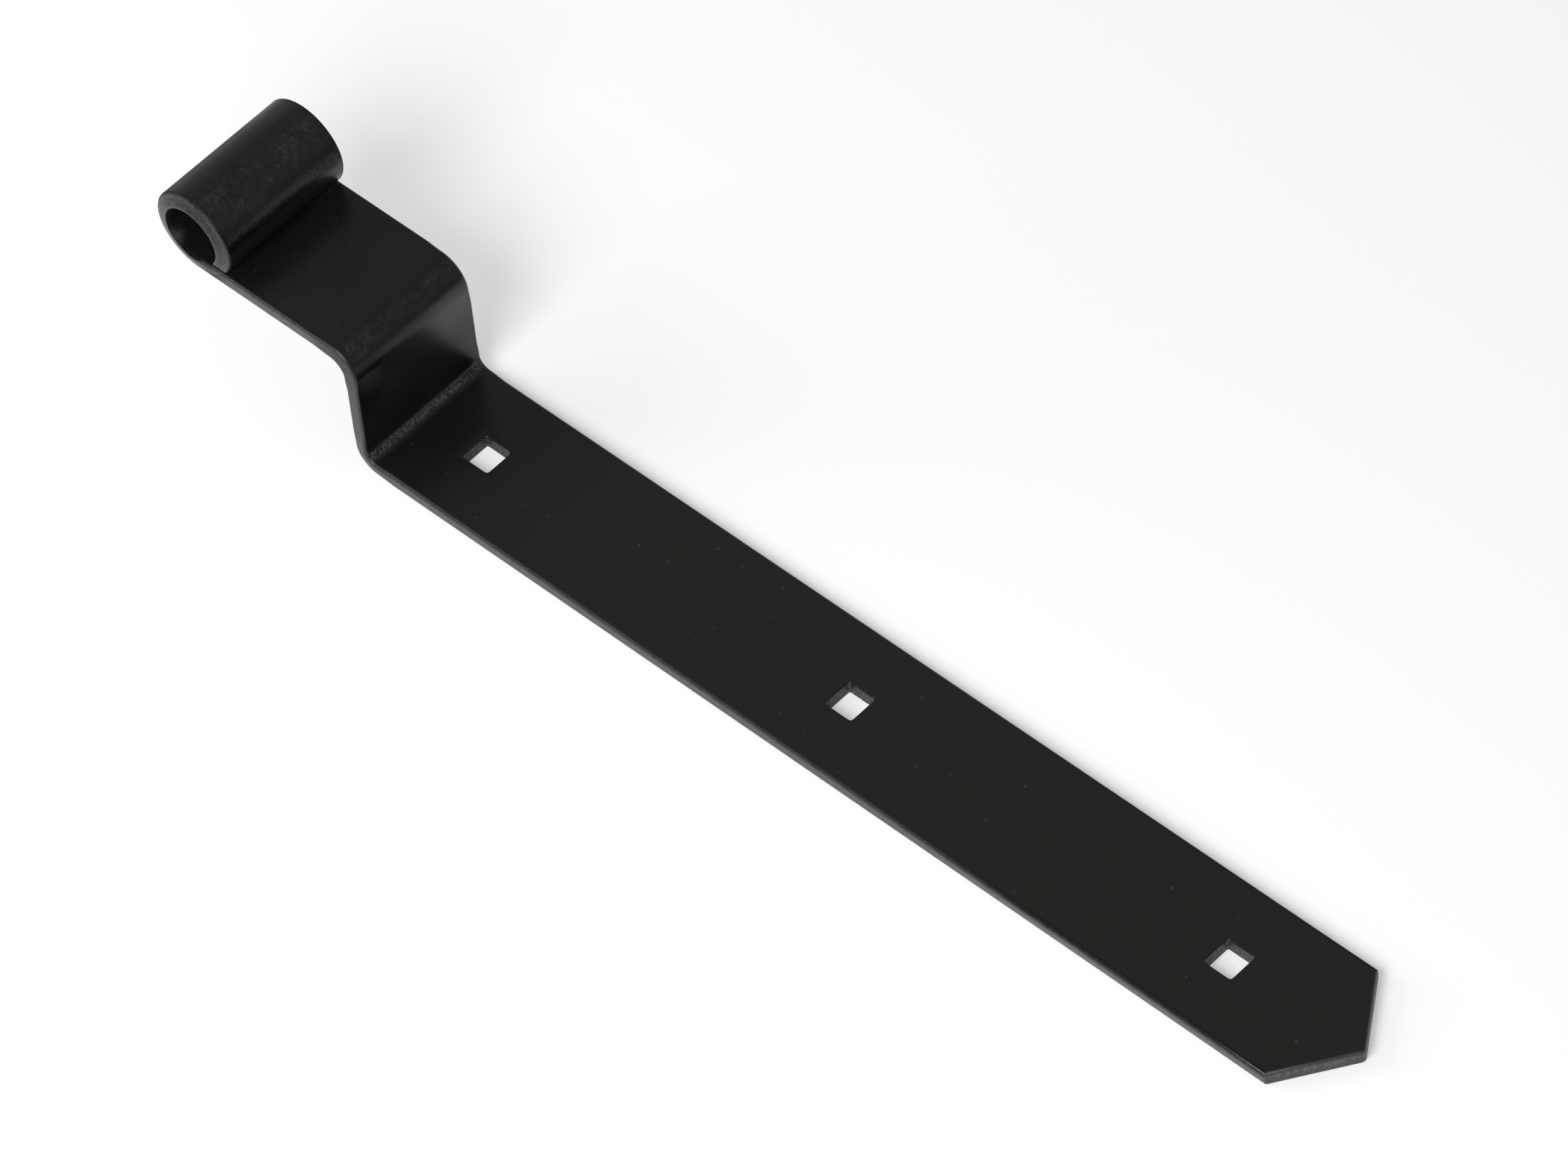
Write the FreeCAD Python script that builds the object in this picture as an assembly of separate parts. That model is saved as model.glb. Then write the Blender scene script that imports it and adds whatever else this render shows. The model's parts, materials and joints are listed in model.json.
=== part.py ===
import FreeCAD, Part
import math
import os

# Cranked band of a gate hinge: one flat bar that is rolled at one end into an open eye for
# the hinge pin, steps down through two square bends, and is cut to a blunt point at the tip.
# Where the bar is rolled or bent, its hollow side spreads a little past the bar's width and
# its crest draws in, as thick bar does. Rolling also sharpens the rounded edges at the eye.
# Millimetres. X runs from the eye to the tip, Y along the pin and Z up, out of the fixing
# face. The origin is the middle of the eye's bore.

# Bar, with rounded long edges
bar_width = 50.0
bar_thickness = 5.0
edge_round = 1.3

# Eye, rolled from the end of the bar, with what is left there of the bar's rounded edges. The
# gap is between the rolled end and the strap below.
bore_radius = 10.5
bore_edge_round = 0.4
eye_edge_round = 0.8
rolled_end_gap = 1.2

# Crank. The bend radii are those of the hollow side of each bend.
pin_to_crank_face = 66.0
crank_rise = 45.5
upper_bend_radius = 5.5
lower_bend_radius = 4.0

# How far each edge of the hollow side spreads and each edge of the crest draws in, at the eye
# and at the bends, and the length of straight bar over which that fades out
eye_spread = 1.3
eye_draw = 0.3
bend_spread = 0.5
bend_draw = 0.4
fade_length = 7.0

# Square holes for bolt necks, in line on the strap, with slightly rounded corners
pin_to_first_hole = 92.5
hole_pitch = 150.0
hole_count = 3
square_hole = 10.5
hole_corner = 0.8

# Tip
last_hole_to_point = 52.5
point_length = 17.0
point_round = 2.0

# How far a cutting shape runs past the face that it cuts
cut_margin = 1.0

# Places and directions that follow from the sizes above
pin_axis = FreeCAD.Vector(0, 1, 0)
eye_radius = bore_radius + bar_thickness
raised_top = -bore_radius
raised_under = -eye_radius
strap_top = raised_top - crank_rise
strap_under = strap_top - bar_thickness
crank_front = pin_to_crank_face
crank_back = crank_front - bar_thickness
upper_bend_x = crank_back - upper_bend_radius
upper_bend_z = raised_under - upper_bend_radius
lower_bend_x = crank_front + lower_bend_radius
lower_bend_z = strap_top + lower_bend_radius
last_hole = pin_to_first_hole + hole_pitch * (hole_count - 1)
point_end = last_hole + last_hole_to_point
point_start = point_end - point_length
rolled_end_dip = math.degrees(math.asin((bore_radius - rolled_end_gap) / eye_radius))

# Forms that the bar's cross-section takes: what each side adds to the upper face and to the
# lower face, and the rounds of the upper edges and of the lower edges
plain = (0.0, 0.0, edge_round, edge_round)
rolled_up = (eye_spread, -eye_draw, bore_edge_round, eye_edge_round)
bent_up = (bend_spread, -bend_draw, edge_round, edge_round)
bent_down = (-bend_draw, bend_spread, edge_round, edge_round)


def rounded_corner(before, corner, after, radius):
    """The arc that rounds a corner between two straight edges."""
    to_before = (before - corner).normalize()
    to_after = (after - corner).normalize()
    half_angle = to_before.getAngle(to_after) / 2
    inward = (to_before + to_after).normalize()
    run = radius / math.tan(half_angle)
    centre_run = radius / math.sin(half_angle)
    middle = corner + inward * (centre_run - radius)
    return Part.Arc(corner + to_before * run, middle, corner + to_after * run)


def section(x, z, upright, form):
    """The bar's cross-section in one of its forms, where its upper face is at x, z and looks
    along upright."""
    upper_extra, lower_extra, upper_round, lower_round = form
    upper_half = bar_width / 2 + upper_extra
    lower_half = bar_width / 2 + lower_extra
    upper = FreeCAD.Vector(x, 0, z)
    lower = upper - upright * bar_thickness
    corners = [
        upper - pin_axis * upper_half,
        upper + pin_axis * upper_half,
        lower + pin_axis * lower_half,
        lower - pin_axis * lower_half,
    ]
    rounds = [upper_round, upper_round, lower_round, lower_round]
    count = len(corners)
    arcs = [
        rounded_corner(corners[n - 1], corners[n], corners[(n + 1) % count], rounds[n])
        for n in range(count)
    ]
    edges = []
    for n, arc in enumerate(arcs):
        edges.append(arc.toShape())
        edges.append(Part.LineSegment(arc.EndPoint, arcs[(n + 1) % count].StartPoint).toShape())
    return Part.Wire(edges)


def straight(first, last):
    """A straight stretch of bar between two sections, which may differ in form."""
    return Part.makeLoft([first, last], True, True)


def bend(first, x, z, angle):
    """A section swung round a bend or a roll whose centre is at x, z, by an angle in degrees."""
    return Part.Face(first).revolve(FreeCAD.Vector(x, 0, z), pin_axis, angle)


def folded_bar():
    """The whole bar, rolled and bent, with a square end at the tip."""
    up = FreeCAD.Vector(0, 0, 1)
    ahead = FreeCAD.Vector(1, 0, 0)

    at_eye = section(0, raised_top, up, rolled_up)
    past_eye = section(fade_length, raised_top, up, plain)
    before_upper_bend = section(upper_bend_x - fade_length, raised_top, up, plain)
    at_upper_bend = section(upper_bend_x, raised_top, up, bent_down)
    below_upper_bend = section(crank_front, upper_bend_z, ahead, bent_down)
    crank_top = section(crank_front, upper_bend_z - fade_length, ahead, plain)
    crank_foot = section(crank_front, lower_bend_z + fade_length, ahead, plain)
    above_lower_bend = section(crank_front, lower_bend_z, ahead, bent_up)
    at_lower_bend = section(lower_bend_x, strap_top, up, bent_up)
    past_lower_bend = section(lower_bend_x + fade_length, strap_top, up, plain)
    bar_end = section(point_end, strap_top, up, plain)

    stretches = [
        bend(at_eye, 0, 0, 270 + rolled_end_dip),
        straight(at_eye, past_eye),
        straight(past_eye, before_upper_bend),
        straight(before_upper_bend, at_upper_bend),
        bend(at_upper_bend, upper_bend_x, upper_bend_z, 90),
        straight(below_upper_bend, crank_top),
        straight(crank_top, crank_foot),
        straight(crank_foot, above_lower_bend),
        bend(above_lower_bend, lower_bend_x, lower_bend_z, -90),
        straight(at_lower_bend, past_lower_bend),
        straight(past_lower_bend, bar_end),
    ]
    return stretches[0].fuse(stretches[1:]).removeSplitter()


def tip_waste(side):
    """The corner that is sheared off one side of the tip, +1 or -1 along Y."""
    half = bar_width / 2
    run_on = point_length * cut_margin / half
    corners = [
        (point_end + run_on, -side * cut_margin),
        (point_start - run_on, side * (half + cut_margin)),
        (point_end + run_on, side * (half + cut_margin)),
    ]
    base = strap_under - cut_margin
    points = [FreeCAD.Vector(x, y, base) for x, y in corners]
    waste = Part.Face(Part.makePolygon(points + points[:1]))
    return waste.extrude(FreeCAD.Vector(0, 0, bar_thickness + 2 * cut_margin))


def is_upright(edge):
    """True for a straight edge along Z."""
    first, last = [vertex.Point for vertex in edge.Vertexes]
    return abs(last.z - first.z) > bar_thickness


def square_slug(x):
    """The square slug, with rounded corners, that is punched out of the strap at x."""
    corner = FreeCAD.Vector(x - square_hole / 2, -square_hole / 2, strap_under - cut_margin)
    slug = Part.makeBox(square_hole, square_hole, bar_thickness + 2 * cut_margin, corner)
    return slug.makeFillet(hole_corner, [edge for edge in slug.Edges if is_upright(edge)])


def is_point_edge(edge):
    """True for the upright edge where the two sheared faces of the tip meet."""
    ends = [vertex.Point for vertex in edge.Vertexes]
    return all(abs(end.x - point_end) < cut_margin and abs(end.y) < cut_margin for end in ends)


def cranked_band():
    """The finished band."""
    band = folded_bar().cut([tip_waste(1), tip_waste(-1)])
    band = band.makeFillet(point_round, [edge for edge in band.Edges if is_point_edge(edge)])
    slugs = [square_slug(pin_to_first_hole + hole_pitch * step) for step in range(hole_count)]
    return band.cut(slugs)


os.makedirs("parts", exist_ok=True)
band = cranked_band()
band.exportStep("parts/cranked_band.step")
print("cranked_band:", "valid" if band.isValid() else "not valid", "solids", len(band.Solids))
print("volume mm3", round(band.Volume, 1), "faces", len(band.Faces), "box", band.BoundBox)
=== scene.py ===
import json
import math

import bmesh
import bpy
from bpy.props import FloatProperty, FloatVectorProperty, IntProperty, PointerProperty
from mathutils import Matrix, Vector

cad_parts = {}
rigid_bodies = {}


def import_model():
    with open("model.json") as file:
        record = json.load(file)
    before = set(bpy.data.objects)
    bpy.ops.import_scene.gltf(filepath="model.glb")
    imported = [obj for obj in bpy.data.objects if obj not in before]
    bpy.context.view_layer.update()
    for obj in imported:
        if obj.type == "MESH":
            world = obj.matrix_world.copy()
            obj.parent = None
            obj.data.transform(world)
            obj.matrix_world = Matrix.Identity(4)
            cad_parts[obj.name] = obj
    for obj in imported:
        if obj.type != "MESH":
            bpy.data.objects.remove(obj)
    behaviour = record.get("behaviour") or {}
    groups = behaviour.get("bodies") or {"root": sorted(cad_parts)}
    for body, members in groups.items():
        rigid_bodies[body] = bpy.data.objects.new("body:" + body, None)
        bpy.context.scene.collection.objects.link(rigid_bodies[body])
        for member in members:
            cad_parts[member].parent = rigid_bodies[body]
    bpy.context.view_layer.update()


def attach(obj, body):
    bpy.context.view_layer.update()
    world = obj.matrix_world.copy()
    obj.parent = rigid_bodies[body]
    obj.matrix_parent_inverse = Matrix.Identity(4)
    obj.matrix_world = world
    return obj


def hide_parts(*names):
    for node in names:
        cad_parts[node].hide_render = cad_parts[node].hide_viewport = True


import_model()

bl_info = {
    "name": "Cranked hinge band",
    "version": (1, 0, 0),
    "blender": (4, 5, 0),
    "location": "View3D > Sidebar > Hinge",
    "description": "A flat bar hinge band with a rolled eye, a two-bend crank and square holes",
    "category": "Object",
}

MM = 0.001

# Where a cut or a comparison of places may be off, in metres
CLOSE = 1e-6
NEAR = 0.01 * MM

# How far along an axis a face's normal has to point for the face to count as facing that way
FACING = 0.9

# Turn of each step of the bends and of the roll, in degrees, and the steps of a fade
BEND_STEP = 5
ROLL_STEP = 3
FADE_STEPS = 6

# Steps of the rounds at the point, at the holes' corners and along the edges, and the steepest
# turn between two faces that are shaded as one, in degrees
POINT_STEPS = 6
CORNER_STEPS = 5
EDGE_STEPS = 6
SMOOTH_TURN = 40

# Shares of the way from a hole's rim to undrawn bar at which the surface has an edge loop
PUNCH_LOOPS = (0.68, 0.42, 0.2, 0)

# Rounds of the finer edges, as shares of the long edges' round
CRANK_ROUND = 0.6
ROLLED_END_ROUND = 0.25
UPPER_RIM_ROUND = 0.35
TIP_RIM_ROUND = 0.55
LOWER_RIM_ROUND = 0.15


# Sizes and colours

class BandSizes(bpy.types.PropertyGroup):
    """Sizes of the band. They match the solid model."""

    bar_width: FloatProperty(
        name="Bar width", description="Width of the flat bar",
        default=50.0 * MM, unit="LENGTH",
    )
    bar_thickness: FloatProperty(
        name="Bar thickness", description="Thickness of the flat bar",
        default=5.0 * MM, unit="LENGTH",
    )
    edge_round: FloatProperty(
        name="Edge round", description="Radius of the bar's long edges",
        default=1.3 * MM, unit="LENGTH",
    )
    bore_radius: FloatProperty(
        name="Bore radius", description="Radius of the eye's bore",
        default=10.5 * MM, unit="LENGTH",
    )
    bore_edge_round: FloatProperty(
        name="Bore edge round", description="Radius that rolling leaves of the bore's edges",
        default=0.4 * MM, unit="LENGTH",
    )
    eye_edge_round: FloatProperty(
        name="Eye edge round", description="Radius that rolling leaves of the eye's outer edges",
        default=0.8 * MM, unit="LENGTH",
    )
    rolled_end_gap: FloatProperty(
        name="Rolled end gap", description="Gap between the eye's rolled end and the bar below it",
        default=1.2 * MM, unit="LENGTH",
    )
    pin_to_crank_face: FloatProperty(
        name="Pin to crank face", description="From the pin's axis to the front of the crank",
        default=66.0 * MM, unit="LENGTH",
    )
    crank_rise: FloatProperty(
        name="Crank rise", description="Height between the strap and the raised end",
        default=45.5 * MM, unit="LENGTH",
    )
    upper_bend_radius: FloatProperty(
        name="Upper bend radius", description="Radius of the upper bend's hollow side",
        default=5.5 * MM, unit="LENGTH",
    )
    lower_bend_radius: FloatProperty(
        name="Lower bend radius", description="Radius of the lower bend's hollow side",
        default=4.0 * MM, unit="LENGTH",
    )
    eye_spread: FloatProperty(
        name="Eye spread", description="How far each edge of the eye's hollow side spreads",
        default=1.27 * MM, unit="LENGTH",
    )
    eye_draw: FloatProperty(
        name="Eye draw", description="How far each edge of the eye's outside draws in",
        default=0.3 * MM, unit="LENGTH",
    )
    bend_spread: FloatProperty(
        name="Bend spread", description="How far each edge of a bend's hollow side spreads",
        default=0.5 * MM, unit="LENGTH",
    )
    bend_draw: FloatProperty(
        name="Bend draw", description="How far each edge of a bend's crest draws in",
        default=0.4 * MM, unit="LENGTH",
    )
    fade_length: FloatProperty(
        name="Fade length", description="Straight bar over which a spread or a draw fades out",
        default=7.0 * MM, unit="LENGTH",
    )
    pin_to_first_hole: FloatProperty(
        name="Pin to first hole", description="From the pin's axis to the first square hole",
        default=92.5 * MM, unit="LENGTH",
    )
    hole_pitch: FloatProperty(
        name="Hole pitch", description="Distance between neighbouring holes",
        default=150.0 * MM, unit="LENGTH",
    )
    hole_count: IntProperty(
        name="Hole count", description="Number of square holes", default=3, min=1,
    )
    square_hole: FloatProperty(
        name="Square hole", description="Side of a square hole",
        default=10.5 * MM, unit="LENGTH",
    )
    hole_corner: FloatProperty(
        name="Hole corner", description="Radius of a square hole's upright corners",
        default=0.8 * MM, unit="LENGTH",
    )
    punch_sink: FloatProperty(
        name="Punch sink", description="How far the punch drew the hole's upper rim down",
        default=0.14 * MM, unit="LENGTH",
    )
    punch_reach: FloatProperty(
        name="Punch reach", description="How far from the rim the punch drew the surface down",
        default=3.2 * MM, unit="LENGTH",
    )
    last_hole_to_point: FloatProperty(
        name="Last hole to point", description="From the last hole to the tip's sharp point",
        default=52.5 * MM, unit="LENGTH",
    )
    point_length: FloatProperty(
        name="Point length", description="Length of the tip's two sheared corners",
        default=17.0 * MM, unit="LENGTH",
    )
    point_round: FloatProperty(
        name="Point round", description="Radius of the point",
        default=2.0 * MM, unit="LENGTH",
    )


class CoatLook(bpy.types.PropertyGroup):
    """Colours and finish of the coat."""

    coat_colour: FloatVectorProperty(
        name="Coat colour", description="Colour of the black coat",
        default=(0.0075, 0.0075, 0.0070), subtype="COLOR", min=0, max=1,
    )
    cloud_colour: FloatVectorProperty(
        name="Cloud colour", description="Colour of the coat's faint lighter clouds",
        default=(0.0100, 0.0100, 0.0090), subtype="COLOR", min=0, max=1,
    )
    # The strap's tint, with painted light: painted shade where it fades out near the crank, and
    # paler towards the tip and the far side
    strap_tint_and_light_colour: FloatVectorProperty(
        name="Strap colour", description="Colour of the black coat along the strap",
        default=(0.0118, 0.0118, 0.0092), subtype="COLOR", min=0, max=1,
    )
    # Side faces and the eye's rims are paler for their thin coat and, beyond that, as painted
    # reflection of the bright floor they face
    edge_coat_and_reflection_colour: FloatVectorProperty(
        name="Edge colour", description="Colour of the thin, uneven coat on side faces and rims",
        default=(0.034, 0.037, 0.035), subtype="COLOR", min=0, max=1,
    )
    ring_colour: FloatVectorProperty(
        name="Ring colour", description="Colour of the paler flecks on the eye's end faces",
        default=(0.020, 0.021, 0.020), subtype="COLOR", min=0, max=1,
    )
    # Also the colour of the painted sheen over the back of the roll
    rubbed_and_sheen_colour: FloatVectorProperty(
        name="Rubbed colour", description="Colour where the coat is rubbed",
        default=(0.036, 0.036, 0.034), subtype="COLOR", min=0, max=1,
    )
    # Also the colour of the painted reflection low on the strap's sides
    sheared_and_reflection_colour: FloatVectorProperty(
        name="Sheared colour", description="Colour of the thin coat on the tip's sheared faces",
        default=(0.088, 0.092, 0.088), subtype="COLOR", min=0, max=1,
    )
    # Also the colour of painted light: the highlight in the lower bend's hollow and the light spot
    # in the bore
    speck_and_painted_light_colour: FloatVectorProperty(
        name="Dust colour", description="Colour of dust and of the pale specks in the coat",
        default=(0.085, 0.085, 0.080), subtype="COLOR", min=0, max=1,
    )
    coat_roughness: FloatProperty(
        name="Coat roughness", description="Roughness of the clean coat",
        default=0.27, subtype="FACTOR", min=0, max=1,
    )


class StageLook(bpy.types.PropertyGroup):
    """Colours and lights of the stage."""

    floor_colour: FloatVectorProperty(
        name="Floor colour", description="Colour of the floor",
        default=(0.9, 0.9, 0.9), subtype="COLOR", min=0, max=1,
    )
    # Outside the painted pool of light the floor is darker
    far_floor_colour: FloatVectorProperty(
        name="Far floor colour", description="Colour of the floor far from the band",
        default=(0.35, 0.35, 0.35), subtype="COLOR", min=0, max=1,
    )
    # Painted light: the floor glows by itself inside the painted pool of light round the band,
    # though it is no lamp
    painted_floor_glow: FloatProperty(
        name="Floor glow", description="How much the floor glows by itself, as a light table",
        default=0.36, min=0, max=1,
    )
    room_light: FloatProperty(
        name="Room light", description="Strength of the dim light from all round",
        default=0.265, min=0, max=1,
    )
    backdrop: FloatProperty(
        name="Backdrop", description="Brightness of what is seen beyond the floor",
        default=0.85, min=0, max=1,
    )
    front_light: FloatProperty(
        name="Front light", description="Power of the soft light before the band",
        default=34.0, unit="POWER",
    )
    eye_light: FloatProperty(
        name="Eye light", description="Power of the low soft light beyond the eye",
        default=18.0, unit="POWER",
    )


# Places that follow from the sizes

class Places:
    """Where the band's bends, faces and ends are, in metres."""

    def __init__(self, sizes):
        half = sizes.bar_thickness / 2
        self.eye_radius = sizes.bore_radius + sizes.bar_thickness
        self.raised_middle = -sizes.bore_radius - half
        self.strap_top = -sizes.bore_radius - sizes.crank_rise
        self.strap_under = self.strap_top - sizes.bar_thickness
        self.strap_middle = self.strap_top - half
        crank_back = sizes.pin_to_crank_face - sizes.bar_thickness
        self.upper_x = crank_back - sizes.upper_bend_radius
        self.upper_z = -self.eye_radius - sizes.upper_bend_radius
        self.lower_x = sizes.pin_to_crank_face + sizes.lower_bend_radius
        self.lower_z = self.strap_top + sizes.lower_bend_radius
        steps = range(sizes.hole_count)
        self.holes = [sizes.pin_to_first_hole + sizes.hole_pitch * step for step in steps]
        self.point_end = self.holes[-1] + sizes.last_hole_to_point
        self.point_start = self.point_end - sizes.point_length
        self.end_dip = math.asin((sizes.bore_radius - sizes.rolled_end_gap) / self.eye_radius)


# Work on meshes

def deselect_everything():
    """Leaves object mode with nothing selected."""
    if bpy.context.object and bpy.context.object.mode != "OBJECT":
        bpy.ops.object.mode_set(mode="OBJECT")
    for thing in bpy.context.scene.objects:
        thing.select_set(False)


def pick(piece, kind, wanted):
    """In edit mode, selects the piece's verts, edges or faces that pass a test."""
    bpy.ops.mesh.select_all(action="DESELECT")
    bpy.ops.mesh.select_mode(type=kind)
    mesh = bmesh.from_edit_mesh(piece.data)
    parts = {"VERT": mesh.verts, "EDGE": mesh.edges, "FACE": mesh.faces}[kind]
    chosen = [part for part in parts if wanted(part)]
    if not chosen:
        raise RuntimeError(f"nothing on {piece.name} was found to select")
    for part in chosen:
        part.select_set(True)
    mesh.select_flush_mode()
    bmesh.update_edit_mesh(piece.data)


def cut(piece, place, normal, **options):
    """Cuts the whole piece along a plane."""
    bpy.ops.mesh.select_all(action="SELECT")
    bpy.ops.mesh.bisect(plane_co=place, plane_no=normal, threshold=CLOSE, **options)


def soft_step(share):
    """A share from 0 to 1, eased at both ends."""
    return share * share * (3 - 2 * share)


def add_modifier(piece, kind, **settings):
    """Adds a modifier with its settings and applies it."""
    modifier = piece.modifiers.new(kind.title(), kind)
    for name, value in settings.items():
        setattr(modifier, name, value)
    bpy.ops.object.modifier_apply(modifier=modifier.name)


# The bar, folded by extruding and swinging its section

class FoldedBar:
    """A bar that grows from its tip towards the eye. Its open section stays selected."""

    def __init__(self, sizes, place):
        self.half_width = sizes.bar_width / 2
        bpy.ops.mesh.primitive_plane_add(
            size=1, location=place, rotation=(0, math.radians(90), 0),
        )
        self.piece = bpy.context.object
        self.piece.scale = (sizes.bar_thickness, sizes.bar_width, 1)
        bpy.ops.object.transform_apply(location=True, rotation=True, scale=True)
        bpy.ops.object.mode_set(mode="EDIT")
        bpy.ops.mesh.select_all(action="SELECT")

    def widen(self, upright, widening):
        """Sets how far the section's upper and lower edge stand past the bar's width."""
        mesh = bmesh.from_edit_mesh(self.piece.data)
        corners = [vert for vert in mesh.verts if vert.select]
        middle = sum((corner.co for corner in corners), Vector()) / len(corners)
        rows = [
            [vert.index for vert in corners if (vert.co - middle).dot(upright) > 0],
            [vert.index for vert in corners if (vert.co - middle).dot(upright) < 0],
        ]
        for row, extra in zip(rows, widening):
            pick(self.piece, "VERT", lambda vert: vert.index in row)
            mesh = bmesh.from_edit_mesh(self.piece.data)
            now = max(vert.co.y for vert in mesh.verts if vert.select)
            factor = (self.half_width + extra) / now
            bpy.ops.transform.resize(value=(1, factor, 1), center_override=(0, 0, 0))
        pick(self.piece, "FACE", lambda face: all(v.index in rows[0] + rows[1] for v in face.verts))

    def pull(self, way, length):
        """Lengthens the bar straight on."""
        move = Vector(way) * length
        bpy.ops.mesh.extrude_region_move(TRANSFORM_OT_translate={"value": move})

    def fade(self, way, length, upright, before, after):
        """Lengthens the bar while its widening goes softly from one pair to another."""
        for step in range(1, FADE_STEPS + 1):
            soft = soft_step(step / FADE_STEPS)
            self.pull(way, length / FADE_STEPS)
            self.index()
            self.widen(upright, [a + (b - a) * soft for a, b in zip(before, after)])

    def swing(self, x, z, degrees, step_degrees):
        """Swings the section round a centre."""
        bpy.ops.mesh.spin(
            steps=round(abs(degrees) / step_degrees), angle=math.radians(degrees),
            center=(x, 0, z), axis=(0, 1, 0),
        )
        self.index()

    def index(self):
        """Gives the mesh's parts fresh numbers."""
        mesh = bmesh.from_edit_mesh(self.piece.data)
        mesh.verts.index_update()
        mesh.verts.ensure_lookup_table()


def fold_bar(sizes, places):
    """The bar from its square tip back to its rolled end, with sharp edges."""
    plain = (0.0, 0.0)
    rolled_up = (sizes.eye_spread, -sizes.eye_draw)
    bent_up = (sizes.bend_spread, -sizes.bend_draw)
    bent_down = (-sizes.bend_draw, sizes.bend_spread)
    up = Vector((0, 0, 1))
    ahead = Vector((1, 0, 0))
    back = (-1, 0, 0)
    fade = sizes.fade_length

    bar_end = places.point_end + sizes.bar_thickness
    bar = FoldedBar(sizes, (bar_end, 0, places.strap_middle))
    bar.pull(back, bar_end - places.lower_x - fade)
    bar.fade(back, fade, up, plain, bent_up)
    bar.swing(places.lower_x, places.lower_z, -90, BEND_STEP)
    bar.fade(up, fade, ahead, bent_up, plain)
    bar.pull(up, places.upper_z - places.lower_z - 2 * fade)
    bar.fade(up, fade, ahead, plain, bent_down)
    bar.swing(places.upper_x, places.upper_z, 90, BEND_STEP)
    bar.fade(back, fade, up, bent_down, plain)
    bar.pull(back, places.upper_x - 2 * fade)
    bar.fade(back, fade, up, plain, rolled_up)
    bar.swing(0, 0, -270 - math.degrees(places.end_dip), ROLL_STEP)
    bpy.ops.mesh.select_all(action="SELECT")
    bpy.ops.mesh.remove_doubles(threshold=CLOSE)
    bpy.ops.mesh.normals_make_consistent(inside=False)
    return bar.piece


def shear_tip(piece, sizes, places):
    """Shears the two corners off the tip and rounds the point between them."""
    half = sizes.bar_width / 2
    point = (places.point_end, 0, 0)
    for side in (1, -1):
        cut(piece, point, (half, side * sizes.point_length, 0), clear_outer=True, use_fill=True)
    pick(piece, "EDGE", lambda edge: all(
        abs(vert.co.x - places.point_end) < NEAR and abs(vert.co.y) < NEAR for vert in edge.verts
    ))
    offset = sizes.point_round * sizes.point_length / half
    bpy.ops.mesh.bevel(offset=offset, segments=POINT_STEPS, affect="EDGES")


def punch_holes(piece, sizes, places):
    """Punches the square holes, with small corners and an upper rim drawn down by the punch."""
    half = sizes.square_hole / 2
    frame_half = half + sizes.punch_reach * 2
    for side in (1, -1):
        cut(piece, (0, side * frame_half, 0), (0, 1, 0))
        for x in places.holes:
            cut(piece, (x + side * frame_half, 0, 0), (1, 0, 0))

    def is_upper(face):
        return face.calc_center_median().z > places.strap_middle

    for x in places.holes:
        def is_blank(face):
            spot = face.calc_center_median()
            return abs(spot.x - x) < NEAR and abs(spot.y) < NEAR

        for upper, reach in ((True, sizes.punch_reach), (False, 0)):
            pick(piece, "FACE", lambda face: is_blank(face) and is_upper(face) == upper)
            bpy.ops.mesh.inset(thickness=frame_half - half - reach)
            corner = sizes.hole_corner + reach
            bpy.ops.mesh.bevel(offset=corner, segments=CORNER_STEPS, affect="VERTICES")
        pick(piece, "FACE", lambda face: is_blank(face) and is_upper(face))
        before = 1
        for share in PUNCH_LOOPS:
            drop = soft_step(before) - soft_step(share)
            bpy.ops.mesh.inset(
                thickness=sizes.punch_reach * (before - share), depth=-sizes.punch_sink * drop,
            )
            before = share
        pick(piece, "FACE", is_blank)
        bpy.ops.mesh.bridge_edge_loops()


def part_coats(piece, places):
    """Gives the piece its two material slots, the second one for the tip's sheared faces."""
    piece.data.materials.append(None)
    piece.data.materials.append(None)
    pick(piece, "FACE", lambda face: abs(face.normal.z) < FACING
         and face.calc_center_median().x > places.point_start)
    piece.active_material_index = 1
    bpy.ops.object.material_slot_assign()


def weigh(piece, weight, wanted):
    """Sets how round the edges that pass a test become, as a share of the long edges' round."""
    pick(piece, "EDGE", wanted)
    bpy.ops.transform.edge_bevelweight(value=weight)


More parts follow.
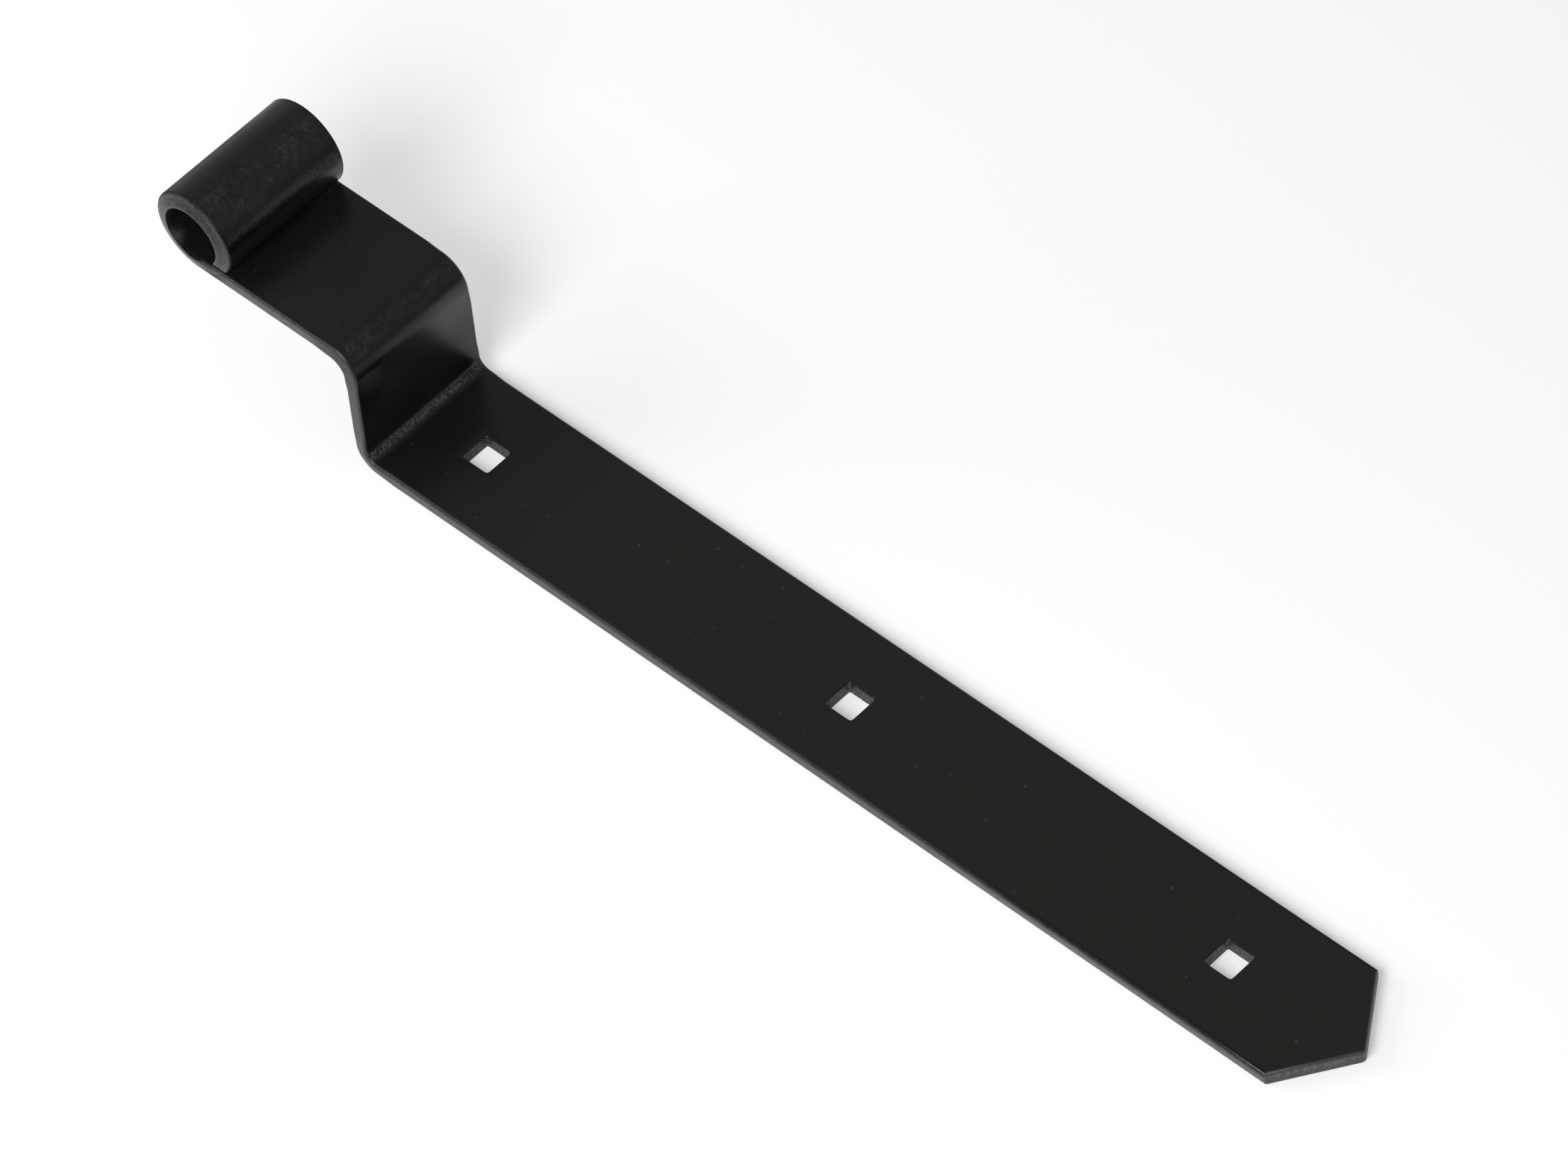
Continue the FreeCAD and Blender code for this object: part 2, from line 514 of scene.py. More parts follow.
def round_edges(piece, sizes, places):
    """Rounds the bar's long edges, and breaks its sheared edges more finely."""
    half = sizes.bar_width / 2
    hole = sizes.square_hole / 2
    to_end = Vector((math.cos(places.end_dip), 0, -math.sin(places.end_dip)))

    def on_rolled_end(vert):
        return vert.co.dot(to_end) > 0 and abs(to_end.cross(vert.co).y) < NEAR

    def sides(edge):
        return [abs(face.normal.y) > FACING for face in edge.link_faces]

    def at_tip(edge):
        return all(vert.co.x > places.point_start - NEAR for vert in edge.verts)

    def in_hole(vert):
        near = [x for x in places.holes if abs(vert.co.x - x) < hole + NEAR]
        return near and abs(vert.co.y) < hole + NEAR

    def is_long(edge):
        out = all(abs(vert.co.y) > half - sizes.edge_round for vert in edge.verts)
        return out and sorted(sides(edge)) == [False, True] and not at_tip(edge)

    def is_end(edge):
        return all(on_rolled_end(vert) for vert in edge.verts)

    def round_weight(edge):
        """A long edge's round as a share of edge_round, smaller at the eye and on the crank."""
        spot = (edge.verts[0].co + edge.verts[1].co) / 2
        if abs(spot.x - sizes.pin_to_crank_face) < NEAR and spot.z < places.upper_z:
            return CRANK_ROUND
        on_flat = spot.x > 0 and spot.z < NEAR - sizes.bore_radius
        if on_flat:
            plain_share = min(spot.x / sizes.fade_length, 1)
            hollow_side = spot.z > places.raised_middle
        else:
            plain_share = 0
            hollow_side = math.hypot(spot.x, spot.z) < -places.raised_middle
        rolled = sizes.bore_edge_round if hollow_side else sizes.eye_edge_round
        now = rolled + (sizes.edge_round - rolled) * plain_share
        return round(now / sizes.edge_round, 3)

    def is_rim(edge):
        level = abs(edge.verts[0].co.z - edge.verts[1].co.z) < sizes.bar_thickness / 2
        flat = [abs(face.normal.z) > FACING for face in edge.link_faces]
        sheared = at_tip(edge) or all(in_hole(vert) for vert in edge.verts)
        return level and sheared and sorted(flat) == [False, True]

    def is_upper(edge):
        return edge.verts[0].co.z > places.strap_middle

    pick(piece, "EDGE", lambda edge: is_long(edge) and not is_end(edge))
    mesh = bmesh.from_edit_mesh(piece.data)
    for weight in sorted({round_weight(edge) for edge in mesh.edges if edge.select}):
        weigh(piece, weight, lambda edge: is_long(edge) and not is_end(edge)
              and round_weight(edge) == weight)
    weigh(piece, ROLLED_END_ROUND, is_end)
    weigh(piece, UPPER_RIM_ROUND, lambda edge: is_rim(edge) and is_upper(edge))
    weigh(piece, TIP_RIM_ROUND, lambda edge: is_rim(edge) and is_upper(edge) and at_tip(edge))
    weigh(piece, LOWER_RIM_ROUND, lambda edge: is_rim(edge) and not is_upper(edge))
    bpy.ops.object.mode_set(mode="OBJECT")
    add_modifier(
        piece, "BEVEL", limit_method="WEIGHT", offset_type="WIDTH",
        width=sizes.edge_round * math.sqrt(2), segments=EDGE_STEPS,
        use_clamp_overlap=False,
    )
    bpy.ops.object.shade_smooth_by_angle(angle=math.radians(SMOOTH_TURN))
    add_modifier(piece, "WEIGHTED_NORMAL", keep_sharp=True)


# Shader maths

# Numbers of a Mix node's two colour sockets
FIRST_COLOUR = 6
SECOND_COLOUR = 7


class Wire:
    """A node's output. Arithmetic on it adds Math nodes to its tree."""

    def __init__(self, tree, socket):
        self.tree = tree
        self.socket = socket

    def __add__(self, other):
        return self.tree.maths("ADD", self, other)

    def __radd__(self, other):
        return self.tree.maths("ADD", other, self)

    def __sub__(self, other):
        return self.tree.maths("SUBTRACT", self, other)

    def __rsub__(self, other):
        return self.tree.maths("SUBTRACT", other, self)

    def __mul__(self, other):
        return self.tree.maths("MULTIPLY", self, other)

    def __rmul__(self, other):
        return self.tree.maths("MULTIPLY", other, self)


class Tree:
    """A node tree that is filled in from the far end: textures first, the output last."""

    def __init__(self, tree):
        self.tree = tree
        tree.nodes.clear()

    def node(self, kind, settings, values, output=0):
        """Adds a node with its settings and the values or wires of its sockets."""
        node = self.tree.nodes.new(kind)
        for name, value in settings.items():
            setattr(node, name, value)
        pairs = values.items() if isinstance(values, dict) else enumerate(values)
        for name, value in pairs:
            if isinstance(value, Wire):
                self.tree.links.new(value.socket, node.inputs[name])
            else:
                node.inputs[name].default_value = value
        return Wire(self, node.outputs[output]) if node.outputs else None

    def maths(self, operation, *values):
        """One Math node."""
        return self.node("ShaderNodeMath", {"operation": operation}, values)

    def share(self, value, low, high):
        """0 where the value is at or below low, 1 where it is at or above high, soft between."""
        settings = {"interpolation_type": "SMOOTHSTEP"}
        sockets = {"Value": value, "From Min": low, "From Max": high}
        return self.node("ShaderNodeMapRange", settings, sockets)

    def fall(self, value, low, high):
        """1 where the value is at or below low, 0 where it is at or above high, soft between."""
        return 1 - self.share(value, low, high)

    def between(self, value, start, full, fading, end):
        """1 from full to fading, 0 before start and past the end, soft between."""
        return self.share(value, start, full) * self.fall(value, fading, end)

    def turn_between(self, angle, stops):
        """The same for an angle, with its four stops in degrees."""
        return self.between(angle, *[math.radians(stop) for stop in stops])

    def noise(self, place, scale, detail=2.0, roughness=0.5):
        """Soft noise between 0 and 1."""
        sockets = {"Vector": place, "Scale": scale, "Detail": detail, "Roughness": roughness}
        return self.node("ShaderNodeTexNoise", {}, sockets)

    def part(self, place, axis):
        """One of a place's three lengths."""
        return self.node("ShaderNodeSeparateXYZ", {}, {0: place}, output=axis)

    def distance(self, place, point):
        """How far a place is from a fixed point."""
        settings = {"operation": "DISTANCE"}
        return self.node("ShaderNodeVectorMath", settings, {0: place, 1: point}, output="Value")

    def mix_colours(self, share, first, second):
        """A colour that goes from the first to the second."""
        first, second = [
            colour if isinstance(colour, Wire) else (*colour, 1) for colour in (first, second)]
        sockets = {"Factor": share, FIRST_COLOUR: first, SECOND_COLOUR: second}
        return self.node("ShaderNodeMix", {"data_type": "RGBA"}, sockets, output=2)

    def bump(self, relief, depth):
        """The normal over a relief between 0 and 1 that is depth high."""
        sockets = {"Height": relief, "Distance": depth, "Strength": 1.0}
        return self.node("ShaderNodeBump", {}, sockets)


def new_material(name):
    """An empty material and its tree."""
    material = bpy.data.materials.new(name)
    material.use_nodes = True
    return material, Tree(material.node_tree)


def in_millimetres(tree):
    """Places on the piece, in millimetres."""
    metres = tree.node("ShaderNodeTexCoord", {}, {}, output="Object")
    return tree.node("ShaderNodeVectorMath", {"operation": "SCALE"}, {0: metres, "Scale": 1 / MM})


# Materials, with lengths in millimetres where no other unit is named

COAT_IOR = 1.5

# How deep the coat's and the sheared faces' finest unevenness is, in metres
COAT_RELIEF = 0.04 * MM
SHEARED_RELIEF = 0.16 * MM

# Where the coat differs, and where shade and a highlight are painted, round the roll and the bends:
# a mask's start, the two turns between which it is full, and its end, in degrees. Round the roll,
# 0 faces the crank and 90 faces up.
# Round the upper bend's crest and the lower bend's hollow, 0 is at the flat and 90 at the crank.
ROLL_RUBBED = (25, 45, 65, 100)
ROLL_BACK = (88, 112, 160, 170)
ROLL_OUTLINE = (118, 136, 160, 170)
ROLL_FRONT = (0, 12, 18, 44)
UNDER_ROLL = (-60, -30, 6, 14)
CREST_RUBBED = (12, 28, 44, 58)
CREST_LINE = (48, 58, 64, 74)
CREST_FOOT = (60, 70, 78, 91)
HOLLOW_HIGHLIGHT = (20, 40, 56, 78)

# Where the coat changes softly along the band, from the first length to the second
EYE_TO_FLAT = (4, 16)
CRANK_TO_STRAP = (85, 150)
STRAP_TO_TIP = (250, 430)
SIDES_TO_TIP = (270, 340)
FIRST_HOLE_TO_SECOND = (150, 300)
BENDS = (46, 52, 74, 80)

# The same across it, where 0 is the middle and the near side is below 0
ROLL_NEAR_END = (-20, -4)
ROLL_FAR_END = (6, 18)
ROLL_FAR_SIDE = (5, 20)
FOOT_FAR_SIDE = (-2, 14)
CRANK_FAR_SIDE = (5, 22)

# The same in height, where 0 is the pin's axis
CRANK_TOP = (-19, -15)
CRANK_LOW = (-38, -22)
RING_TOP = (-2, 11)

# Middle of the painted light spot in the bore and of the painted shade at the crank's near top, and
# how far from it each starts to fade and ends
BORE_LIGHT_SPOT = (-8.2, -25.0, -6.6)
LIGHT_SPOT_FADE = (0.5, 4.5)
CRANK_SHADE_SPOT = (66.0, -19.0, -27.0)
SPOT_FADE = (3, 13)

# Specks in the coat: the scale of their cells, the share of cells without one, the smallest
# size and how much larger they get, and how soft they are
SPECK_SCALE = 0.2
SPECK_RARITY = 0.4
SPECK_SIZE = 0.06
SPECK_GROWTH = 0.1
SPECK_SOFTNESS = 0.02

# Middle of the painted pool of light on the floor, and where it starts to fade and ends
LIGHT_POOL_MIDDLE = (140.0, -60.0, 0.0)
LIGHT_POOL_FADE = (380, 1000)


def finish_coat(tree, colour, roughness, normal, metal=0.0):
    """Adds a coat's shader and the output."""
    shader = tree.node("ShaderNodeBsdfPrincipled", {}, {
        "Base Color": colour, "Roughness": roughness, "Metallic": metal, "Normal": normal,
        "IOR": COAT_IOR,
    })
    tree.node("ShaderNodeOutputMaterial", {}, {"Surface": shader})


def speckle(tree, place):
    """Small round specks in the middles of some cells, 1 on a speck."""
    settings = {"Vector": place, "Scale": SPECK_SCALE}
    nearness = tree.node("ShaderNodeTexVoronoi", {}, settings)
    cell = tree.node("ShaderNodeTexVoronoi", {}, settings, output="Color")
    draw = tree.node("ShaderNodeSeparateColor", {}, {0: cell})
    size = tree.node("ShaderNodeSeparateColor", {}, {0: cell}, output=1)
    speck = tree.fall(nearness, SPECK_SOFTNESS, SPECK_SIZE + size * SPECK_GROWTH)
    return speck * tree.share(draw, SPECK_RARITY, SPECK_RARITY + SPECK_SOFTNESS)


class BlackCoat:
    """The wires that the black coat is made from: where on the band a spot is, the coat's
    noises, and masks of the faces and rims that look different."""

    def __init__(self, tree, look, sizes, places):
        self.tree = tree
        self.look = look
        self.place = in_millimetres(tree)
        self.along, self.across, self.height = [tree.part(self.place, axis) for axis in "XYZ"]
        self.aside = tree.maths("ABSOLUTE", self.across)
        self.add_noises()
        self.add_turns(places)
        self.add_faces(sizes)
        self.add_wear()
        self.add_eye_rims(sizes, places)
        self.add_sheared_rims(sizes, places)

    def add_noises(self):
        """Clouds, the fine unevenness of the coat, and patches of four sizes."""
        tree = self.tree
        place = self.place
        self.clouds = tree.noise(place, 0.06, detail=3)
        self.peel = tree.noise(place, 0.55)
        self.grain = tree.noise(place, 1.7)
        patches = tree.noise(place, 0.11, detail=3, roughness=0.6)
        uneven = tree.noise(place, 0.45, detail=3, roughness=0.6)
        blotches = tree.noise(place, 0.5, detail=5, roughness=0.75)
        flecks = tree.noise(place, 1.1, detail=3, roughness=0.7)
        self.patches = tree.share(patches, 0.44, 0.6)
        self.uneven = tree.share(uneven, 0.3, 0.7)
        self.blotches = tree.share(blotches, 0.42, 0.6)
        self.flecks = tree.share(flecks, 0.42, 0.6)

    def add_turns(self, places):
        """Turns round the roll and the two bends, and the distance from the pin's axis."""
        tree = self.tree
        self.roll_turn = tree.maths("ARCTAN2", self.height, self.along)
        self.from_axis = tree.maths("SQRT", self.along * self.along + self.height * self.height)
        self.crest_turn = tree.maths(
            "ARCTAN2", self.along - places.upper_x / MM, self.height - places.upper_z / MM)
        self.hollow_turn = tree.maths(
            "ARCTAN2", places.lower_x / MM - self.along, places.lower_z / MM - self.height)

    def add_faces(self, sizes):
        """Masks of the side faces, the eye's end faces and all other faces, and among these of the
        crank's front and of the strap, whose tint is painted darker near the crank and paler
        towards the tip and the far side."""
        tree = self.tree
        half = sizes.bar_width / 2 / MM
        bore = sizes.bore_radius / MM
        front = sizes.pin_to_crank_face / MM
        out = tree.share(self.aside, half - 1.0, half - 0.2)
        below_eye = tree.fall(self.height, -bore, 2 - bore)
        past_eye = tree.share(self.along, *EYE_TO_FLAT) * below_eye
        self.on_eye = 1 - past_eye
        self.sides = out * (1 - self.on_eye)
        self.ring = out * self.on_eye
        self.faces = 1 - out
        at_front = tree.between(self.along, front - 2, front - 0.5, front + 1, front + 2)
        self.on_crank = at_front * tree.fall(self.height, *CRANK_TOP)
        # Painted light along the strap: darker near the crank, paler towards the tip and the far
        # side
        side_share = tree.share(self.across, -half, half)
        tip_share = tree.share(self.along, *STRAP_TO_TIP)
        strap_tint_and_light = tree.share(self.along, *CRANK_TO_STRAP)
        self.strap_tint_and_light = strap_tint_and_light * (0.8 + tip_share * 0.5 + side_share * 0.3)

    def add_wear(self):
        """Masks of what rolling and bending rubbed and mottled, of pale specks, and of painted
        light: a highlight in the lower bend's hollow, a light spot in the bore, and sheen over the
        back of the roll.
        """
        tree = self.tree
        roll_rubbed = tree.turn_between(self.roll_turn, ROLL_RUBBED) * self.faces
        crest_rubbed = tree.turn_between(self.crest_turn, CREST_RUBBED) * self.faces
        mottling = 0.05 + self.blotches * (0.3 + self.flecks * 0.7)
        self.rubbed = (roll_rubbed * 1.2 + crest_rubbed) * mottling * (0.45 + self.patches)
        self.roll_back = tree.turn_between(self.roll_turn, ROLL_BACK) * self.faces
        roll_outline = tree.turn_between(self.roll_turn, ROLL_OUTLINE) * self.faces
        self.roll_outline = roll_outline * tree.fall(self.across, *ROLL_FAR_SIDE)
        # Painted highlight: a paler, flecked band where the lower bend's hollow catches the light
        hollow = tree.turn_between(self.hollow_turn, HOLLOW_HIGHLIGHT) * self.faces
        self.hollow_highlight = hollow * (0.05 + self.flecks * 0.8)
        # Painted light: a pale spot on the bore's wall, where light comes into the bore
        from_light_spot = tree.distance(self.place, BORE_LIGHT_SPOT) + self.blotches
        self.bore_light_spot = tree.fall(from_light_spot, *LIGHT_SPOT_FADE)
        self.specks = speckle(tree, self.place) * self.faces

    def add_eye_rims(self, sizes, places):
        """Masks of rings on the eye's end faces, and of the outer edges of eye and bends."""
        tree = self.tree
        half = sizes.bar_width / 2 / MM
        bore = sizes.bore_radius / MM
        eye = places.eye_radius / MM
        radius = self.from_axis
        self.inner_rim = tree.between(radius, bore + 0.05, bore + 0.25, bore + 0.5, bore + 1.3)
        self.ring_middle = tree.between(radius, bore + 0.3, bore + 1.1, bore + 2.3, bore + 3.3)
        self.outer_rim = tree.between(radius, eye - 1.6, eye - 1.0, eye - 0.6, eye - 0.3)
        self.near_edge = tree.share(self.aside, half - 1.4, half - 0.8)
        eye_edge = tree.share(radius, eye - 0.9, eye - 0.4)
        self.eye_rim = self.on_eye * self.near_edge * eye_edge
        bend_edge = tree.share(self.aside, half - 1.4, half - 0.6)
        self.bend_rim = bend_edge * tree.between(self.along, *BENDS)

    def add_sheared_rims(self, sizes, places):
        """Masks of the holes' walls, the tip's upper rim, and two lines on the strap's sides: a
        painted reflection low down and a line of painted shade along the upper edges.
        """
        tree = self.tree
        half = sizes.bar_width / 2
        top = places.strap_top / MM
        under = places.strap_under / MM
        hole = sizes.square_hole / 2 / MM
        reach = sizes.hole_pitch / 2 / MM
        past_hole = tree.maths("WRAP", self.along - sizes.pin_to_first_hole / MM, reach, -reach)
        in_length = tree.fall(tree.maths("ABSOLUTE", past_hole), hole, hole + 0.15)
        in_width = tree.fall(self.aside, hole, hole + 0.15)
        self.hole_walls = in_length * in_width * tree.fall(self.height, top - 1.0, top - 0.4)
        slant = math.hypot(half, sizes.point_length)
        past_point = (self.along - places.point_end / MM) * (half / slant)
        past_shear = past_point + self.aside * (sizes.point_length / slant)
        self.tip_rim = tree.share(past_shear, -1.1, -0.3)
        far_end = tree.share(self.along, *SIDES_TO_TIP)
        # Painted reflection: a pale band low on the strap's sides towards the tip, where they
        # mirror the bright floor
        glow = tree.between(self.height, under + 0.6, under + 1.4, under + 2.4, under + 3.2)
        self.side_reflection = self.sides * far_end * glow
        above_glow = tree.share(self.height, under + 2.6, under + 3.6)
        self.side_line = self.near_edge * far_end * above_glow

    def colour(self):
        """Black with faint clouds, and over it what is paler, one layer after the other."""
        tree = self.tree
        look = self.look
        # The back of the roll is paler: rubbed coat, with painted sheen that grows towards the far
        # side
        roll_back = self.roll_back * (0.4 + tree.share(self.across, *ROLL_FAR_SIDE) * 0.3)
        specks = self.specks * (0.25 + self.strap_tint_and_light * 0.15)
        layers = (
            (self.strap_tint_and_light, look.strap_tint_and_light_colour),
            (self.rubbed * 0.8, look.rubbed_and_sheen_colour),
            (roll_back, look.rubbed_and_sheen_colour),
            # Painted highlight in the lower bend's hollow
            (self.hollow_highlight, look.speck_and_painted_light_colour),
            (self.ring * self.flecks, look.ring_colour),
            # Paler rims on the eye's end faces and paler side faces: thin coat, and painted
            # reflection of the bright floor
            (self.ring * (self.inner_rim + self.outer_rim * 0.7), look.edge_coat_and_reflection_colour),
            (self.sides * (0.3 + self.uneven * 0.7), look.edge_coat_and_reflection_colour),
            (self.hole_walls * self.flecks * 0.7, look.speck_and_painted_light_colour),
            # Painted reflection low on the strap's sides
            (self.side_reflection * 0.5, look.sheared_and_reflection_colour),
            (self.tip_rim * 0.4, look.sheared_and_reflection_colour),
            # Pale specks in the coat, and the painted light spot in the bore
            (specks + self.bore_light_spot * 0.8, look.speck_and_painted_light_colour),
        )
        colour = tree.mix_colours(self.clouds, look.coat_colour, look.cloud_colour)
        for share, tint in layers:
            colour = tree.mix_colours(share, colour, tint)
        return colour

    def scale(self):
        """Painted shade: how much the coat turns metallic, which with its near-black colour darkens
        its reflections.
        """
        tree = self.tree
        # Painted shade at the crank's near top
        in_shade_spot = tree.fall(tree.distance(self.place, CRANK_SHADE_SPOT), *SPOT_FADE)
        line = tree.turn_between(self.crest_turn, CREST_LINE)
        foot = tree.turn_between(self.crest_turn, CREST_FOOT)
        foot = foot * tree.fall(self.across, *FOOT_FAR_SIDE)
        roll_front = tree.turn_between(self.roll_turn, ROLL_FRONT)
        near_end = tree.fall(self.across, *ROLL_NEAR_END)
        far_end = tree.share(self.across, *ROLL_FAR_END)
        roll_ends = near_end * 0.25 + far_end * 0.2
        roll_shade = roll_front * (0.3 + self.flecks * 0.3 + roll_ends)
        # Painted shade on the crest's line and foot, on the front of the roll and at the crank's
        # near top
        face_shade = in_shade_spot * 0.6 + foot * 0.4 + line * 0.18 + roll_shade
        low = tree.fall(self.height, *CRANK_LOW)
        far_and_low = tree.share(self.across, *CRANK_FAR_SIDE) * low
        # Painted shade on the crank's front, most on its far, low part
        crank_shade = self.on_crank * (0.04 + far_and_low * 0.45)
        past_first = tree.share(self.along, *FIRST_HOLE_TO_SECOND)
        # Painted shade on the holes' walls, most at the first hole
        hole_shade = self.hole_walls * (0.7 - past_first * 0.35) * (1 - self.flecks * 0.8)
        # Painted shade on the eye's end faces, more towards their top and on their middle
        ring_shade = (1 - self.flecks) * (0.04 + tree.share(self.height, *RING_TOP) * 0.36)
        ring_shade = self.ring * (ring_shade + self.ring_middle * 0.1)
        # Painted shade on the eye's outer rim and along the strap's upper edges towards the tip
        rim_shade = self.eye_rim * 0.45 + self.side_line * 0.6
        return face_shade * self.faces + crank_shade + hole_shade + ring_shade + rim_shade

    def roughness(self):
        """Roughness, with what dulls the coat."""
        roughness = self.look.coat_roughness + (self.clouds - 0.5) * 0.1 + (self.grain - 0.5) * 0.12
        dull = self.roll_back + self.roll_outline + self.hole_walls + self.tip_rim + self.specks
        duller_rims = self.eye_rim + self.bend_rim + self.hollow_highlight
        return roughness + dull * 0.2 + duller_rims * 0.15 + self.ring * 0.12 + self.rubbed * 0.05

    def relief(self):
        """The coat's fine unevenness, which is weak on the crank's front and below the roll."""
        under_roll = self.tree.turn_between(self.roll_turn, UNDER_ROLL)
        strength = 1 - (self.on_crank + under_roll) * 0.8
        uneven = (self.peel * 0.6 + self.grain * 0.25) * strength
        return uneven + self.rubbed * 0.15 + self.specks * 0.3


def black_coat(look, sizes, places):
    """The black coat: semi-gloss, finely uneven, with pale specks. It is rubbed and mottled
    where the bar was rolled and bent, and thin on side faces and rims. Painted into it are a
    highlight in the hollow of the lower bend, a light spot in the bore, reflections on side faces
    and rims, light along the strap and sheen on the back of the roll, and shade, made by turning
    the coat metallic, on parts of the crank, the bends, the roll, the eye and the holes' walls."""
    material, tree = new_material("black_coat")
    coat = BlackCoat(tree, look, sizes, places)
    bump = tree.bump(coat.relief(), COAT_RELIEF)
    # The metal input carries the painted shade
    finish_coat(tree, coat.colour(), coat.roughness(), bump, coat.scale())
    return material


def sheared_coat(look, places):
    """The coat on the tip's sheared faces: duller and rougher, palest in a band halfway down."""
    material, tree = new_material("sheared_coat")
    place = in_millimetres(tree)
    under = places.strap_under / MM
    streaked = tree.node(
        "ShaderNodeVectorMath", {"operation": "MULTIPLY"}, {0: place, 1: (1.0, 1.0, 0.35)})
    streaks = tree.noise(streaked, 0.9, detail=4, roughness=0.65)
    grain = tree.noise(place, 2.2, detail=3)
    height = tree.part(place, "Z")
    pale_band = tree.between(height, under + 1.8, under + 2.8, under + 3.6, under + 4.2)
    paleness = tree.share(streaks, 0.42, 0.58) * (0.3 + pale_band * 0.7)
    colour = tree.mix_colours(paleness, look.rubbed_and_sheen_colour, look.sheared_and_reflection_colour)
    roughness = look.coat_roughness + 0.2 + (streaks - 0.5) * 0.25
    bump = tree.bump(streaks * 0.7 + grain * 0.3, SHEARED_RELIEF)
    finish_coat(tree, colour, roughness, bump)
    return material


def pale_floor(look):
    """The matt, pale floor, with a painted pool of light round the band: paler and glowing there,
    darker far off.
    """
    material, tree = new_material("pale_floor")
    # Painted pool of light round the band, in the floor's colour and glow
    pool = tree.fall(tree.distance(in_millimetres(tree), LIGHT_POOL_MIDDLE), *LIGHT_POOL_FADE)
    shader = tree.node("ShaderNodeBsdfPrincipled", {}, {
        "Base Color": tree.mix_colours(pool, look.far_floor_colour, look.floor_colour),
        "Roughness": 0.9, "Specular IOR Level": 0.0,
        "Emission Color": tree.mix_colours(pool, (0.0, 0.0, 0.0), (1.0, 1.0, 1.0)),
        "Emission Strength": look.painted_floor_glow,
    })
    tree.node("ShaderNodeOutputMaterial", {}, {"Surface": shader})
    return material


# Stage, with lengths in metres

FLOOR_SIZE = 12

# How far the floor lies below the strap, so that their faces don't coincide
FLOOR_CLEARANCE = 0.02 * MM

# What the lights look at, how far and how large they are, and the azimuth and elevation of each
# in degrees. Azimuth 0 is along X, 90 along Y.
LIT_POINT = Vector((0.198, 0.019, -0.056))
LIGHT_DISTANCE = 2.3
LIGHT_SIZE = 1.2
FRONT_LIGHT_WAY = (284, 42)
EYE_LIGHT_WAY = (212, 22)

# The camera, at the photograph's viewing angle. The roll is in degrees, lens and sensor in
# millimetres.
CAMERA_PLACE = Vector((1.72937, -1.36992, 2.45305))
CAMERA_AIM = Vector((0.19797, 0.01921, -0.056))
CAMERA_ROLL = -6.34
CAMERA_LENS = 249.37
CAMERA_SENSOR = 36
CAMERA_REACH = 50


def add_soft_light(name, way, power):
    """A square soft light that looks at the band from a way."""
    azimuth, elevation = [math.radians(angle) for angle in way]
    turn = Matrix.Rotation(azimuth, 3, "Z") @ Matrix.Rotation(-elevation, 3, "Y")
    outward = turn @ Vector((1, 0, 0))
    bpy.ops.object.light_add(type="AREA", location=LIT_POINT + outward * LIGHT_DISTANCE)
    light = bpy.context.object
    light.name = name
    light.rotation_euler = outward.to_track_quat("Z", "Y").to_euler()
    light.data.size = LIGHT_SIZE
    light.data.energy = power


def light_room(scene, look):
    """Dim light from all round, and a pale backdrop for the camera alone."""
    world = bpy.data.worlds.new("room")
    world.use_nodes = True
    scene.world = world
    tree = Tree(world.node_tree)
    seen = tree.node("ShaderNodeLightPath", {}, {}, output="Is Camera Ray")
    strength = look.room_light + seen * (look.backdrop - look.room_light)
    shader = tree.node("ShaderNodeBackground", {}, {"Strength": strength})
    tree.node("ShaderNodeOutputWorld", {}, {"Surface": shader})


def add_camera(scene):
    """The camera."""
    bpy.ops.object.camera_add(location=CAMERA_PLACE)
    camera = bpy.context.object
    camera.name = "camera"
    turn = (CAMERA_AIM - CAMERA_PLACE).to_track_quat("-Z", "Y").to_matrix()
    roll = Matrix.Rotation(math.radians(CAMERA_ROLL), 3, "Z")
    camera.rotation_euler = (turn @ roll).to_euler()
    camera.data.lens = CAMERA_LENS
    camera.data.sensor_width = CAMERA_SENSOR
    camera.data.clip_end = CAMERA_REACH
    scene.camera = camera


# Operators

class HINGE_OT_band(bpy.types.Operator):
    """Folds, shears, punches and coats the hinge band"""

    bl_idname = "hinge.band"
    bl_label = "Hinge band"

    def execute(self, context):
        sizes = context.scene.hinge_band_sizes
        look = context.scene.hinge_coat_look
        places = Places(sizes)
        deselect_everything()
        piece = fold_bar(sizes, places)
        piece.name = "folded_band"
        piece.data.name = "folded_band"
        shear_tip(piece, sizes, places)
        punch_holes(piece, sizes, places)
        part_coats(piece, places)
        round_edges(piece, sizes, places)
        piece.material_slots[0].material = black_coat(look, sizes, places)
        piece.material_slots[1].material = sheared_coat(look, places)
        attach(piece, "root")
        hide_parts("cranked_band")
        deselect_everything()
        return {"FINISHED"}


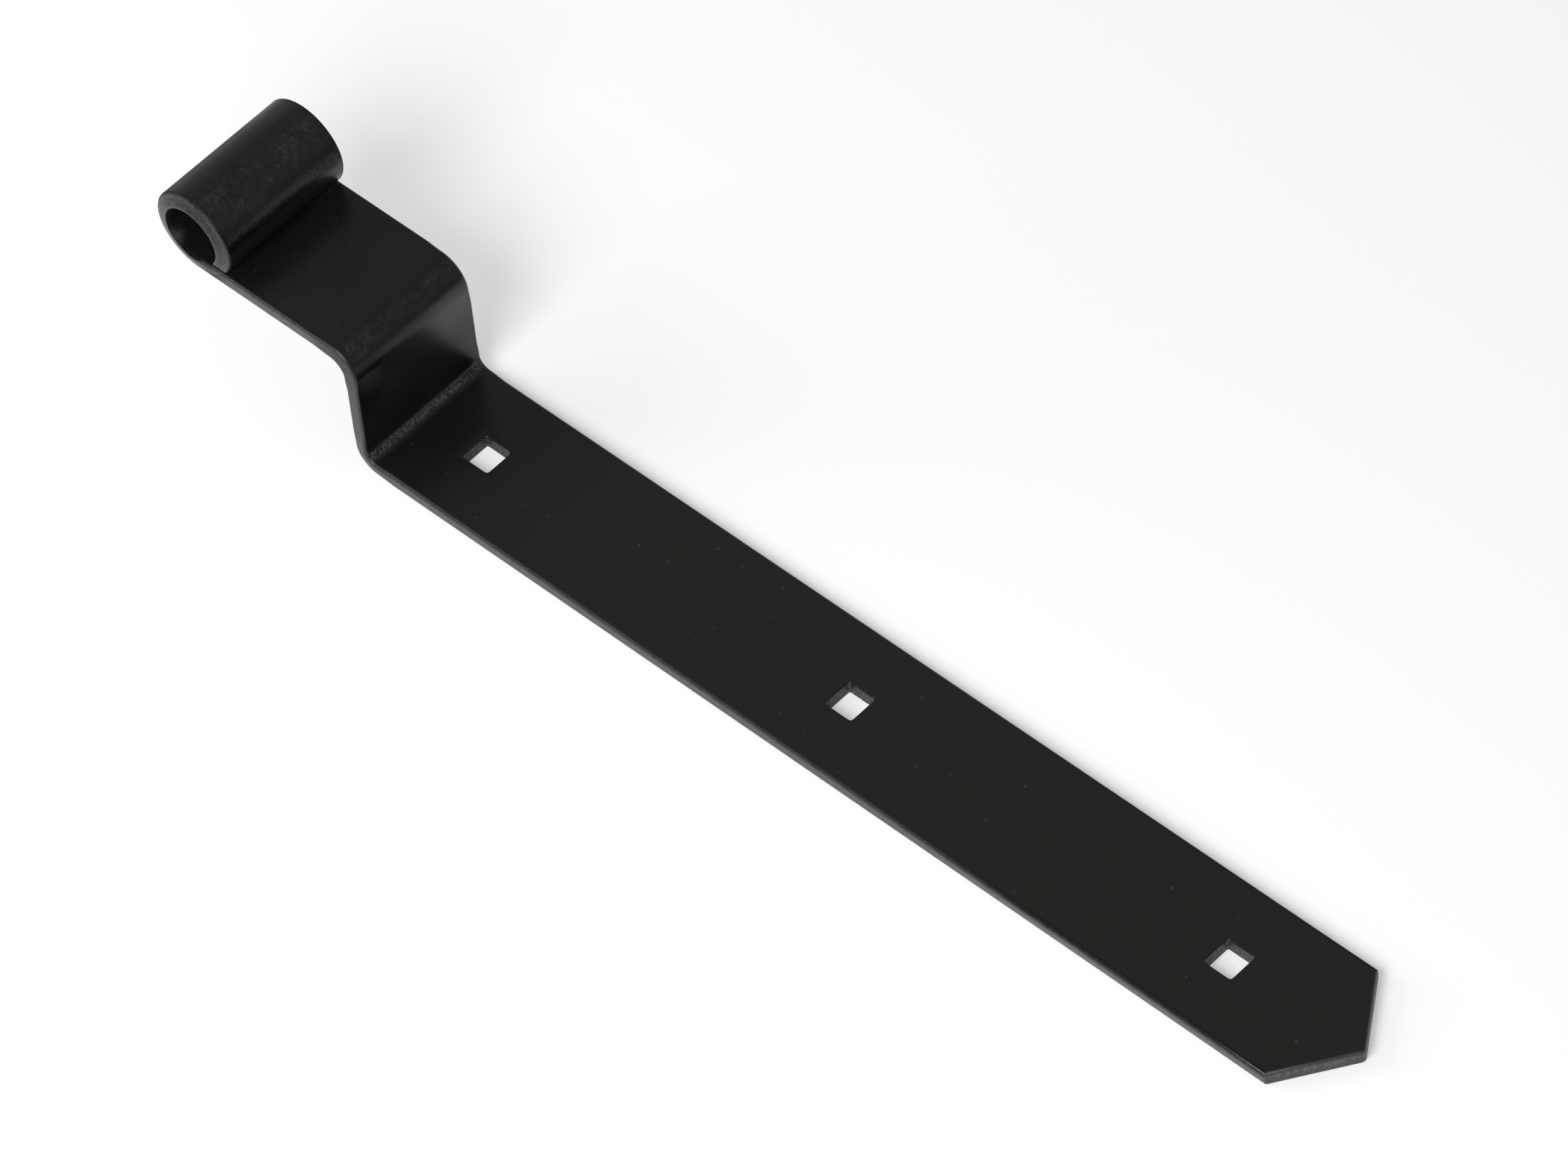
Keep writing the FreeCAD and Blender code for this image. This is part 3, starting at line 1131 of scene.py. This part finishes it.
class HINGE_OT_stage(bpy.types.Operator):
    """Adds the floor, the soft lights and the camera"""

    bl_idname = "hinge.stage"
    bl_label = "Stage"

    def execute(self, context):
        look = context.scene.hinge_stage_look
        floor_level = Places(context.scene.hinge_band_sizes).strap_under - FLOOR_CLEARANCE
        deselect_everything()
        bpy.ops.mesh.primitive_plane_add(size=FLOOR_SIZE, location=(0, 0, floor_level))
        floor = context.object
        floor.name = "floor"
        floor.data.materials.append(pale_floor(look))

        add_soft_light("front_light", FRONT_LIGHT_WAY, look.front_light)
        add_soft_light("eye_light", EYE_LIGHT_WAY, look.eye_light)
        light_room(context.scene, look)
        add_camera(context.scene)
        context.scene.view_settings.view_transform = "Standard"
        deselect_everything()
        return {"FINISHED"}


class HINGE_PT_panel(bpy.types.Panel):
    """The hinge band's sizes, looks and operators"""

    bl_label = "Cranked hinge band"
    bl_idname = "HINGE_PT_panel"
    bl_space_type = "VIEW_3D"
    bl_region_type = "UI"
    bl_category = "Hinge"

    def draw(self, context):
        for group in ("hinge_band_sizes", "hinge_coat_look", "hinge_stage_look"):
            settings = getattr(context.scene, group)
            box = self.layout.box()
            for name in settings.__annotations__:
                box.prop(settings, name)
        for operator in OPERATORS:
            self.layout.operator(operator.bl_idname)


OPERATORS = (HINGE_OT_band, HINGE_OT_stage)
CLASSES = (BandSizes, CoatLook, StageLook) + OPERATORS + (HINGE_PT_panel,)


def register():
    for item in CLASSES:
        bpy.utils.register_class(item)
    bpy.types.Scene.hinge_band_sizes = PointerProperty(type=BandSizes)
    bpy.types.Scene.hinge_coat_look = PointerProperty(type=CoatLook)
    bpy.types.Scene.hinge_stage_look = PointerProperty(type=StageLook)


def unregister():
    del bpy.types.Scene.hinge_band_sizes
    del bpy.types.Scene.hinge_coat_look
    del bpy.types.Scene.hinge_stage_look
    for item in reversed(CLASSES):
        bpy.utils.unregister_class(item)


def main():
    register()
    bpy.ops.hinge.band()
    bpy.ops.hinge.stage()


if __name__ == "__main__":
    main()
